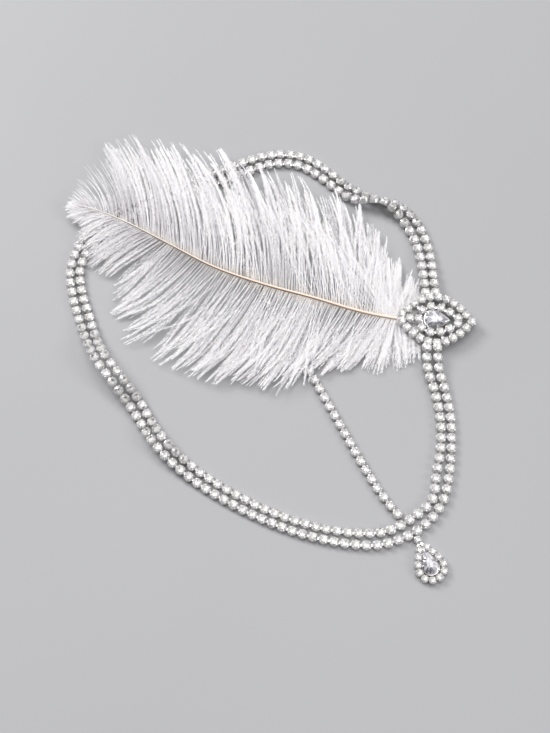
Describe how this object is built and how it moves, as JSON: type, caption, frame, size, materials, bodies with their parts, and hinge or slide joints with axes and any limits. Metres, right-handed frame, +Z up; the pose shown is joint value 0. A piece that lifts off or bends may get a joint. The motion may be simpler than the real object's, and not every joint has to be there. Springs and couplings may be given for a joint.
{
  "type": "flapper feather headband",
  "caption": "Double-row rhinestone headband loop with a marquise stone ornament, an ostrich plume, a crossing stone chain and a drop pendant, lying flat.",
  "frame": {"origin": "middle of the ground that the headband covers, on the surface it lies on", "axes": "+Z up out of the stones' faces, +Y from the drop pendant towards the back of the loop, +X from the feather's tip towards the ornament"},
  "size_m": [0.1878, 0.2074, 0.0106],
  "materials": {
    "silver_metal": "polished silver plate on brass cups and links",
    "crystal": "clear faceted crystal with a foiled back",
    "plume": "soft white ostrich barbs",
    "quill": "satin cream horn of the feather shaft"
  },
  "bodies": {
    "root": {"strand_outer": "silver_metal", "strand_inner": "silver_metal", "center_strand": "silver_metal", "ornament_setting": "silver_metal", "center_stone": "crystal", "quill_clip": "silver_metal", "feather": "plume", "pendant_setting": "silver_metal", "pendant_stone": "crystal"}
  },
  "joints": []
}
